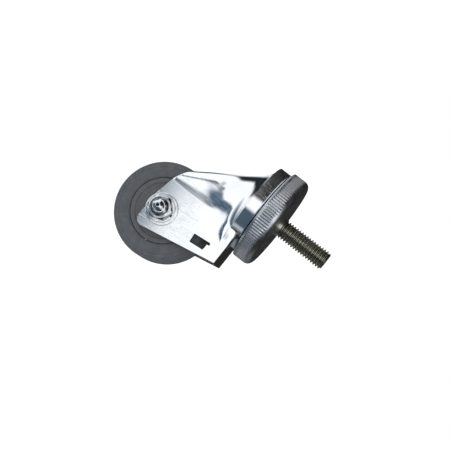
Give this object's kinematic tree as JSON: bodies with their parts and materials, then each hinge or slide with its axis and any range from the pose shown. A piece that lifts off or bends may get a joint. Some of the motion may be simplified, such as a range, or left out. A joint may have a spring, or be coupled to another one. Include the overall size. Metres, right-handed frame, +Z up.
{
  "type": "swivel caster",
  "caption": "Swivel caster with a threaded stem, ribbed raceway cap, stamped plated fork and a single grey rubber wheel on a bolted, greasable axle.",
  "frame": {"origin": "on the stem's axis, at the cap's flat upper face that the mounted equipment rests on", "axes": "+Z up along the threaded stem, +X to the leading side with the hood, the wheel trailing towards -X on an axle along Y"},
  "size_m": [0.102, 0.0697, 0.1303],
  "materials": {
    "stem_zinc": "zinc plated, slightly yellowed, thread crests worn bright",
    "cap_zinc": "dark zinc plate with fine ribs round the rim",
    "fork_plate": "bright plated stamping with fine drawing marks",
    "hardware": "bright zinc plated fasteners",
    "hardened": "ground hardened steel, lightly greased",
    "dark_steel": "oiled dark spring steel",
    "cage": "pressed brass",
    "rubber": "matt dark grey rubber, slightly dusty",
    "core": "moulded dark grey hard core"
  },
  "bodies": {
    "mounting_stem": {"threaded_stem": "stem_zinc", "swivel_cap": "cap_zinc", "upper_race": "hardened", "lower_race": "hardened"},
    "upper_ball_row": {"upper_ball_01": "hardened", "upper_ball_02": "hardened", "upper_ball_03": "hardened", "upper_ball_04": "hardened", "upper_ball_05": "hardened", "upper_ball_06": "hardened", "upper_ball_07": "hardened", "upper_ball_08": "hardened", "upper_ball_09": "hardened", "upper_ball_10": "hardened", "upper_ball_11": "hardened", "upper_ball_12": "hardened", "upper_ball_13": "hardened", "upper_ball_14": "hardened", "upper_ball_15": "hardened", "upper_ball_16": "hardened", "upper_ball_17": "hardened", "upper_ball_18": "hardened"},
    "lower_ball_row": {"lower_ball_01": "hardened", "lower_ball_02": "hardened", "lower_ball_03": "hardened", "lower_ball_04": "hardened", "lower_ball_05": "hardened", "lower_ball_06": "hardened", "lower_ball_07": "hardened", "lower_ball_08": "hardened", "lower_ball_09": "hardened", "lower_ball_10": "hardened"},
    "fork_assembly": {"fork": "fork_plate", "axle_bolt": "hardware", "axle_nut": "hardware", "lock_washer": "hardware", "nut_washer": "hardware", "head_washer": "hardware", "axle_bushing": "hardened", "thrust_washer_near": "hardened", "thrust_washer_far": "hardened", "grease_fitting": "hardware", "fitting_spring": "dark_steel"},
    "check_ball": {"fitting_ball": "dark_steel"},
    "wheel": {"tyre": "rubber", "wheel_core": "core", "bearing_sleeve": "hardened"},
    "roller_row": {"roller_cage": "cage", "roller_01": "hardened", "roller_02": "hardened", "roller_03": "hardened", "roller_04": "hardened", "roller_05": "hardened", "roller_06": "hardened", "roller_07": "hardened", "roller_08": "hardened"}
  },
  "joints": [
    {"name": "swivel", "type": "hinge", "parent": "mounting_stem", "child": "fork_assembly", "pos_m": [0, 0, 0], "axis": [0, 0, 1], "continuous": true},
    {"name": "upper_balls_orbit", "type": "hinge", "parent": "mounting_stem", "child": "upper_ball_row", "pos_m": [0, 0, 0], "axis": [0, 0, 1], "continuous": true},
    {"name": "lower_balls_orbit", "type": "hinge", "parent": "mounting_stem", "child": "lower_ball_row", "pos_m": [0, 0, 0], "axis": [0, 0, 1], "continuous": true},
    {"name": "wheel_spin", "type": "hinge", "parent": "fork_assembly", "child": "wheel", "pos_m": [-0.03825, 0, -0.062], "axis": [0, 1, 0], "continuous": true},
    {"name": "rollers_orbit", "type": "hinge", "parent": "fork_assembly", "child": "roller_row", "pos_m": [-0.03825, 0, -0.062], "axis": [0, 1, 0], "continuous": true},
    {"name": "check_ball_travel", "type": "slide", "parent": "fork_assembly", "child": "check_ball", "axis": [0, -1, 0], "range_m": [0, 0.0006], "stiffness_N_per_m": 500}
  ],
  "couplings": [
    {"joint": "upper_balls_orbit", "follows": "swivel", "ratio": 0.5},
    {"joint": "lower_balls_orbit", "follows": "swivel", "ratio": 0.5},
    {"joint": "rollers_orbit", "follows": "wheel_spin", "ratio": 0.6025}
  ]
}
